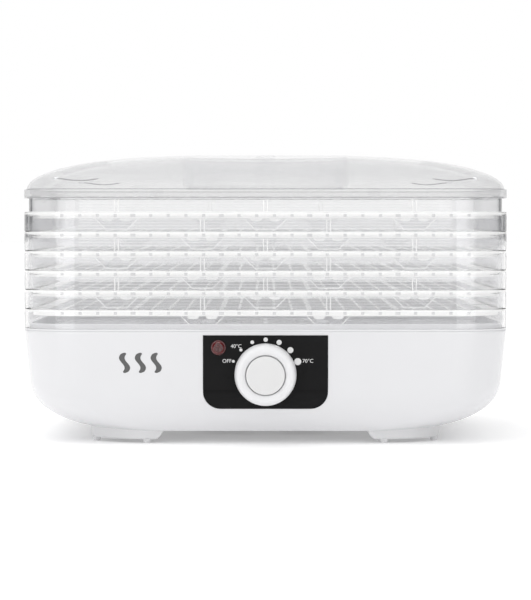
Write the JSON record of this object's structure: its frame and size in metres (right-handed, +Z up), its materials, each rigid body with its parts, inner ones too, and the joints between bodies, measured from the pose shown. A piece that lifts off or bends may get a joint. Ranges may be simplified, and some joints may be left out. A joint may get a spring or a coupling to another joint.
{
  "type": "food dehydrator",
  "caption": "Low stacking food dehydrator: white base with thermostat knob, heater and fan, clear trays and a domed clear lid.",
  "frame": {"origin": "on the table, under the middle of the whole object", "axes": "+Z up; the control panel faces -Y; +X to the right seen from the front"},
  "size_m": [0.39, 0.303, 0.233],
  "materials": {
    "white_housing": "glossy moulded white plastic",
    "black_panel": "glossy black plastic with white dial print",
    "red_lens": "translucent red plastic",
    "black_moulding": "matte black moulded plastic",
    "knob_white": "satin moulded white plastic",
    "mica": "pressed mica sheet",
    "nichrome": "oxidised heating wire",
    "zinc_steel": "zinc-plated steel",
    "laminations": "stacked steel laminations",
    "copper_coil": "enamelled copper winding",
    "bronze": "turned bronze",
    "terminal_white": "natural nylon",
    "clear_tray": "clear moulded plastic",
    "clear_lid": "clear moulded plastic"
  },
  "bodies": {
    "base": {"base_housing": "white_housing", "bottom_cover": "white_housing", "foot_front_left": "white_housing", "foot_front_right": "white_housing", "foot_rear_left": "white_housing", "foot_rear_right": "white_housing", "cover_screws": "zinc_steel", "control_panel": "black_panel", "lamp_lens": "red_lens", "lamp_body": "black_moulding", "thermostat_body": "zinc_steel", "thermostat_nut": "bronze", "fan_grille": "white_housing", "air_duct": "black_moulding", "heater_frame": "mica", "heater_coil": "nichrome", "thermal_fuse": "zinc_steel", "motor_core": "laminations", "motor_coil": "copper_coil", "motor_bracket_lower": "zinc_steel", "motor_bracket_upper": "zinc_steel", "bearing_bushes": "bronze", "motor_mount": "zinc_steel", "motor_screws": "zinc_steel", "terminal_block": "terminal_white", "cord_gland": "black_moulding"},
    "knob": {"thermostat_shaft": "zinc_steel", "knob": "knob_white", "knob_cap": "knob_white"},
    "fan": {"fan_impeller": "black_moulding", "motor_shaft": "zinc_steel", "motor_rotor": "zinc_steel"},
    "tray_1": {"tray_1": "clear_tray"},
    "tray_2": {"tray_2": "clear_tray"},
    "tray_3": {"tray_3": "clear_tray"},
    "tray_4": {"tray_4": "clear_tray"},
    "tray_5": {"tray_5": "clear_tray"},
    "tray_6": {"tray_6": "clear_tray"},
    "lid": {"lid": "clear_lid"}
  },
  "joints": [
    {"name": "knob_turn", "type": "hinge", "parent": "base", "child": "knob", "pos_m": [0, -0.1325, 0.0565], "axis": [0, 1, 0], "range_deg": [0, 137]},
    {"name": "fan_spin", "type": "hinge", "parent": "base", "child": "fan", "pos_m": [0, 0.0075, 0.05], "axis": [0, 0, 1], "continuous": true},
    {"name": "tray_1_lift", "type": "slide", "parent": "base", "child": "tray_1", "axis": [0, 0, 1], "range_m": [0, 0.04]},
    {"name": "tray_2_lift", "type": "slide", "parent": "tray_1", "child": "tray_2", "axis": [0, 0, 1], "range_m": [0, 0.04]},
    {"name": "tray_3_lift", "type": "slide", "parent": "tray_2", "child": "tray_3", "axis": [0, 0, 1], "range_m": [0, 0.04]},
    {"name": "tray_4_lift", "type": "slide", "parent": "tray_3", "child": "tray_4", "axis": [0, 0, 1], "range_m": [0, 0.04]},
    {"name": "tray_5_lift", "type": "slide", "parent": "tray_4", "child": "tray_5", "axis": [0, 0, 1], "range_m": [0, 0.04]},
    {"name": "tray_6_lift", "type": "slide", "parent": "tray_5", "child": "tray_6", "axis": [0, 0, 1], "range_m": [0, 0.04]},
    {"name": "lid_lift", "type": "slide", "parent": "tray_6", "child": "lid", "axis": [0, 0, 1], "range_m": [0, 0.04]}
  ]
}
